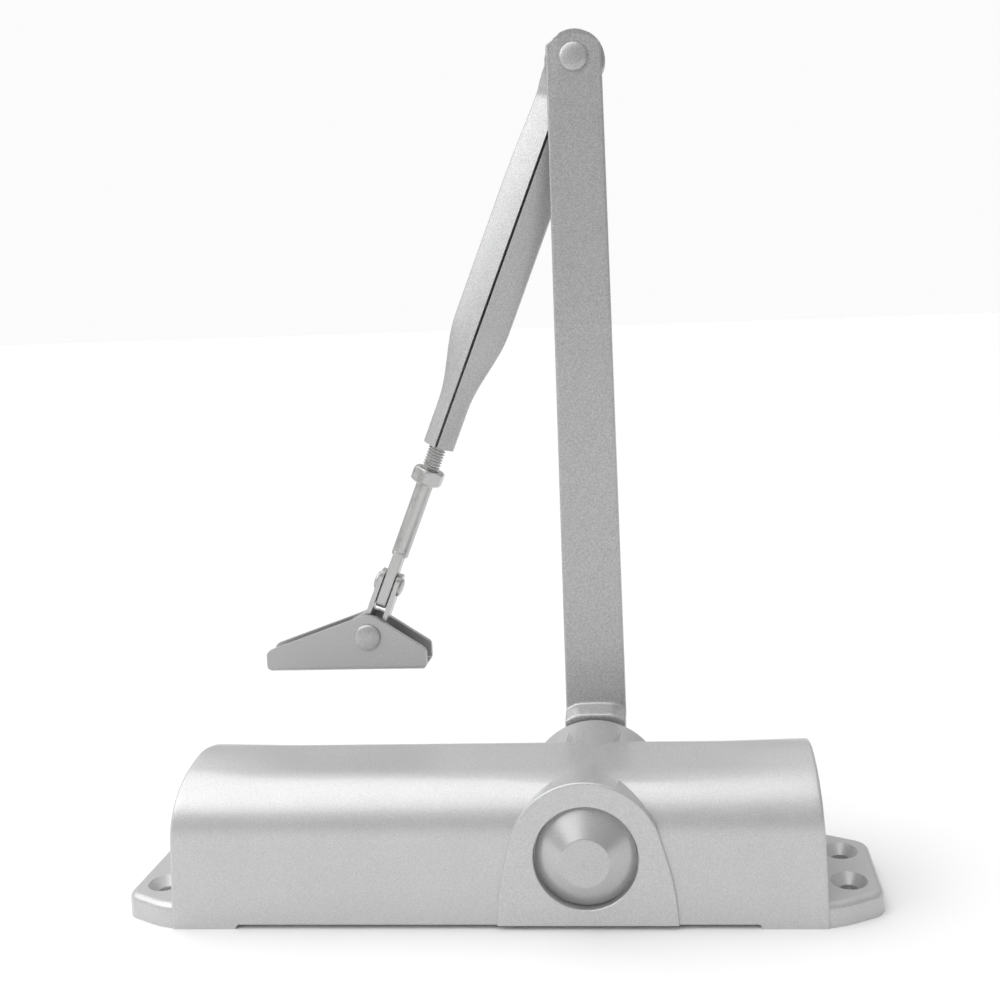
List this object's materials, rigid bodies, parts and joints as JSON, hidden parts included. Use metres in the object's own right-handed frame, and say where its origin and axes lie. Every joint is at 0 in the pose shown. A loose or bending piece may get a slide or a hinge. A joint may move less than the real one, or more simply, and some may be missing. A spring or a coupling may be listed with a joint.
{
  "type": "door closer",
  "caption": "Surface-mounted hydraulic door closer with an arched silver body, rack and pinion inside, and a folding scissor arm with an adjustable rod and shoe.",
  "frame": {"origin": "centre of the four fixing holes, on the mounting face", "axes": "+Z away from the mounting face, +X along the body towards the end nearer the spindle, +Y along the spindle towards the arm"},
  "size_m": [0.226, 0.0782, 0.2691],
  "materials": {
    "silver_paint": "satin",
    "silver_arm": "satin",
    "silver_cap": "satin",
    "plated_rod": "satin",
    "plated_steel": "satin",
    "bearing_steel": "polished",
    "spring_steel": "oiled",
    "valve_brass": "satin",
    "cast_piston": "oiled",
    "seal_rubber": "matte",
    "washer_plastic": "matte"
  },
  "bodies": {
    "housing": {"body_housing": "silver_paint", "left_end_plug": "plated_steel", "left_plug_ring": "seal_rubber", "right_end_plug": "plated_steel", "right_plug_ring": "seal_rubber", "front_bearing": "bearing_steel", "front_seal": "seal_rubber", "front_retainer": "plated_steel", "rear_bearing": "bearing_steel", "rear_seal": "seal_rubber", "rear_retainer": "plated_steel", "spindle_cap": "silver_cap", "closing_spring": "spring_steel"},
    "seat": {"spring_seat": "plated_steel"},
    "power_adjuster": {"power_screw": "plated_steel"},
    "speed_regulator": {"speed_valve": "valve_brass", "speed_valve_ring": "seal_rubber"},
    "latch_regulator": {"latch_valve": "valve_brass", "latch_valve_ring": "seal_rubber"},
    "piston": {"piston_rack": "cast_piston", "ball_retainer": "plated_steel"},
    "ball": {"check_ball": "bearing_steel"},
    "spindle_arm": {"pinion_shaft": "spring_steel", "main_arm": "silver_arm", "arm_washer": "plated_steel", "arm_screw": "plated_steel", "elbow_rivet": "silver_arm", "elbow_washer": "washer_plastic"},
    "forearm": {"forearm": "silver_arm"},
    "rod": {"adjusting_rod": "plated_rod"},
    "nut": {"lock_nut": "plated_rod"},
    "link": {"link_fork": "silver_arm", "cross_rivet": "plated_rod"},
    "shoe": {"shoe": "silver_arm", "shoe_rivet": "silver_arm"}
  },
  "joints": [
    {"name": "spindle_turn", "type": "hinge", "parent": "housing", "child": "spindle_arm", "pos_m": [0.027, 0, 0.0212], "axis": [0, -1, 0], "range_deg": [0, 180], "stiffness_Nm_per_rad": 4, "springref_deg": -143.24},
    {"name": "piston_slide", "type": "slide", "parent": "housing", "child": "piston", "axis": [-1, 0, 0], "range_m": [0, 0.02356], "deforming": ["closing_spring"]},
    {"name": "check_ball_lift", "type": "slide", "parent": "piston", "child": "ball", "axis": [1, 0, 0], "range_m": [0, 0.0006]},
    {"name": "power_screw_turn", "type": "hinge", "parent": "housing", "child": "power_adjuster", "pos_m": [-0.088, 0, 0.0212], "axis": [1, 0, 0], "range_deg": [0, 2160]},
    {"name": "spring_seat_slide", "type": "slide", "parent": "housing", "child": "seat", "axis": [1, 0, 0], "range_m": [0, 0.0075], "deforming": ["closing_spring"]},
    {"name": "closing_speed_turn", "type": "hinge", "parent": "housing", "child": "speed_regulator", "pos_m": [0.09, -0.0186, 0.013], "axis": [1, 0, 0], "range_deg": [0, 720]},
    {"name": "latching_speed_turn", "type": "hinge", "parent": "housing", "child": "latch_regulator", "pos_m": [0.09, 0.0186, 0.013], "axis": [1, 0, 0], "range_deg": [0, 720]},
    {"name": "elbow", "type": "hinge", "parent": "spindle_arm", "child": "forearm", "pos_m": [0.027, 0.0381, 0.2592], "axis": [0, 1, 0], "range_deg": [-12, 150]},
    {"name": "length_adjust", "type": "slide", "parent": "forearm", "child": "rod", "axis": [-0.3778, 0, -0.9259], "range_m": [-0.008, 0.02]},
    {"name": "lock_nut_turn", "type": "hinge", "parent": "rod", "child": "nut", "pos_m": [-0.02854, 0.0438, 0.1231], "axis": [-0.3778, 0, -0.9259], "range_deg": [0, 720]},
    {"name": "link_tilt", "type": "hinge", "parent": "rod", "child": "link", "pos_m": [-0.04366, 0.0438, 0.08606], "axis": [0.9259, 0, -0.3778], "range_deg": [-12, 12]},
    {"name": "shoe_swivel", "type": "hinge", "parent": "link", "child": "shoe", "pos_m": [-0.05068, 0.0438, 0.06884], "axis": [0, 1, 0], "range_deg": [-40, 40]}
  ],
  "couplings": [
    {"joint": "piston_slide", "follows": "spindle_turn", "m_per_rad": 0.0075},
    {"joint": "power_screw_turn", "follows": "spring_seat_slide", "rad_per_m": 5026.5}
  ]
}
